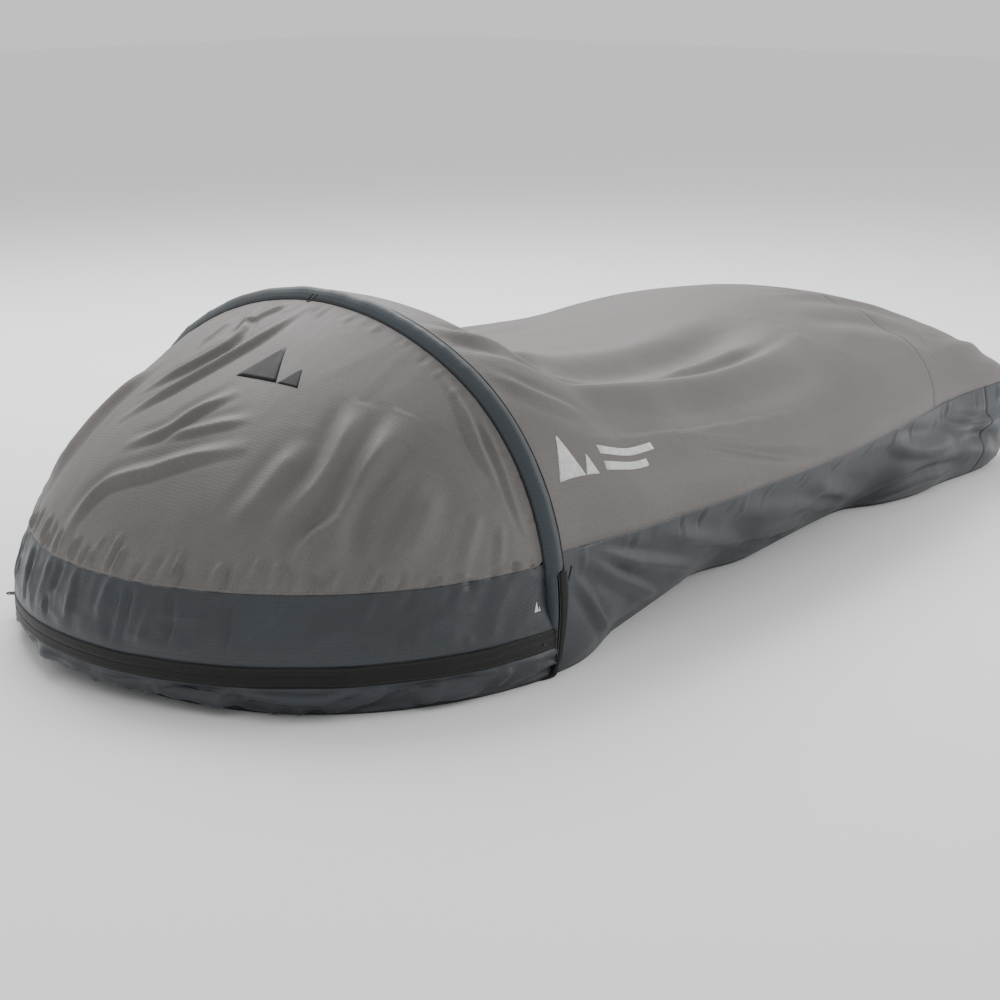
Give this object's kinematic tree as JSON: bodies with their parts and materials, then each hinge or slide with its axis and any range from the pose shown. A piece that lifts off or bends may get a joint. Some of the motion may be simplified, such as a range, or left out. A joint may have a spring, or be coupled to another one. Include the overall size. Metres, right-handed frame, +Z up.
{
  "type": "bivy sack",
  "caption": "Low waterproof sleeping sack with one hoop pole at the head, a domed door that opens along a curved zip, and a tapering closed foot.",
  "frame": {"origin": "on the ground under the middle of the sack's length and width", "axes": "+X towards the sleeper's feet, -X towards the domed head end, +Y to the sleeper's left when lying on the back with the head at -X is the far side, +Z up"},
  "size_m": [2.0817, 0.9153, 0.5],
  "materials": {
    "grey_ripstop": "satin coated ripstop nylon",
    "slate_nylon": "satin coated nylon",
    "black_tape": "matt coated zip tape and webbing",
    "zip_plastic": "moulded nylon coil",
    "pole_anodised": "dark anodised tube",
    "bare_aluminium": "plain drawn tube",
    "zip_metal": "dark enamelled zinc",
    "cord": "braided nylon cord",
    "elastic_cord": "white covered elastic cord"
  },
  "bodies": {
    "sack": {"floor_sheet": "slate_nylon", "side_wall_left": "slate_nylon", "side_wall_right": "slate_nylon", "foot_wall": "slate_nylon", "top_panel": "grey_ripstop", "foot_end_panel": "grey_ripstop", "head_wall": "slate_nylon", "pole_sleeve": "slate_nylon", "pole_section_1": "pole_anodised", "pole_section_2": "pole_anodised", "pole_section_3": "pole_anodised", "pole_section_4": "pole_anodised", "pole_section_5": "pole_anodised", "pole_section_6": "pole_anodised", "pole_ferrules": "bare_aluminium", "pole_tip_left": "zip_plastic", "pole_tip_right": "zip_plastic", "shock_cord": "elastic_cord", "foot_strap_left": "black_tape", "foot_strap_right": "black_tape", "sleeve_cord_left": "cord", "sleeve_cord_right": "cord", "zip_tape_lower": "black_tape", "zip_coil_lower": "zip_plastic", "zip_stops": "zip_metal"},
    "door": {"door_panel": "grey_ripstop", "door_lower_band": "slate_nylon", "zip_tape_upper": "black_tape", "zip_coil_upper": "zip_plastic"},
    "slider": {"zip_slider": "zip_metal"},
    "pull_tab": {"zip_pull_tab": "zip_metal"},
    "pull_cord": {"zip_pull_cord": "cord"},
    "tie": {"tie_loop": "cord"},
    "stake": {"stake_loop": "black_tape"}
  },
  "joints": [
    {"name": "door_lift", "type": "hinge", "parent": "sack", "child": "door", "pos_m": [-0.57, 0, 0.06], "axis": [0, 1, 0], "range_deg": [0, 60], "deforming": ["door_panel", "door_lower_band", "zip_tape_upper"]},
    {"name": "zip_travel", "type": "hinge", "parent": "sack", "child": "slider", "pos_m": [-0.59, 0, 0.06], "axis": [0, 0, 1], "range_deg": [0, 167.24]},
    {"name": "pull_tab_flip", "type": "hinge", "parent": "slider", "child": "pull_tab", "pos_m": [-0.64056, 0.45218, 0.06], "axis": [0, 0, 1], "range_deg": [0, 150]},
    {"name": "pull_cord_swing", "type": "hinge", "parent": "pull_tab", "child": "pull_cord", "pos_m": [-0.62068, 0.45441, 0.06], "axis": [-0.1111, 0.9938, 0], "range_deg": [-40, 40]},
    {"name": "tie_loop_swing", "type": "hinge", "parent": "sack", "child": "tie", "pos_m": [-0.587, 0, 0.49], "axis": [0, 1, 0], "range_deg": [0, 150]},
    {"name": "stake_loop_flip", "type": "hinge", "parent": "sack", "child": "stake", "pos_m": [-0.89312, 0.33664, 0.036], "axis": [-0.7431, -0.6691, 0], "range_deg": [-45, 45]}
  ]
}
